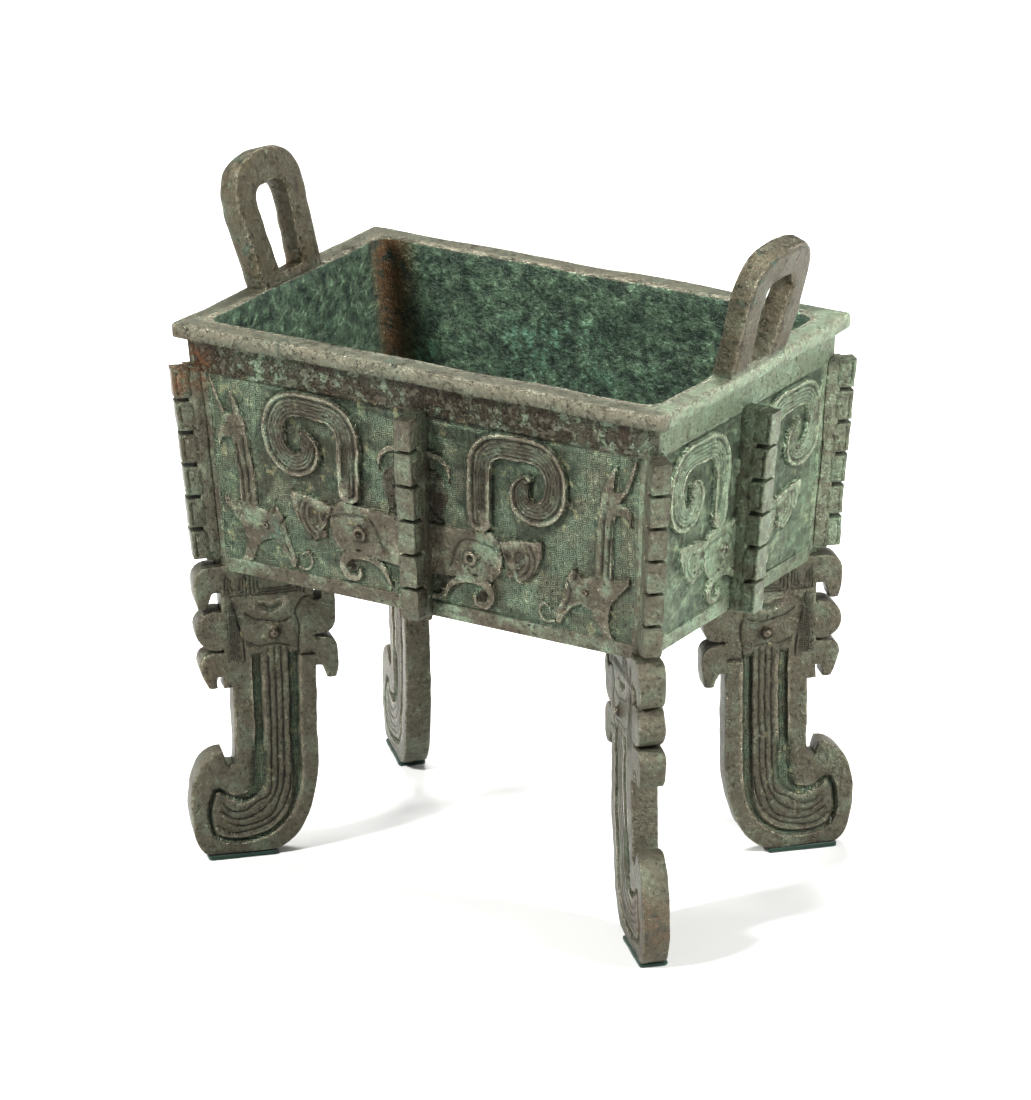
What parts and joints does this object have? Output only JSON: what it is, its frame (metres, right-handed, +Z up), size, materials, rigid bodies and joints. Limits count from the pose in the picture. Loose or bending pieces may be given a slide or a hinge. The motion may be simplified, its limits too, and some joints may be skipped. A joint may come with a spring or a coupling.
{
  "type": "square bronze food vessel",
  "caption": "Square cast-bronze vessel with a hollow box body, upright ears on the rim, notched fins, carved masks and flat hooked legs on felt pads.",
  "frame": {"origin": "under the middle of the vessel, on the surface that its four felt pads stand on", "axes": "+Z up; X along the long walls, with an ear on each end; the front is -Y"},
  "size_m": [0.225, 0.142, 0.2473],
  "materials": {
    "bronze_patina": "cast bronze with a matt grey-green patina",
    "green_felt": "dark green felt"
  },
  "bodies": {
    "root": {"bronze_ding": "bronze_patina", "felt_pad_front_left": "green_felt", "felt_pad_front_right": "green_felt", "felt_pad_back_right": "green_felt", "felt_pad_back_left": "green_felt"}
  },
  "joints": []
}
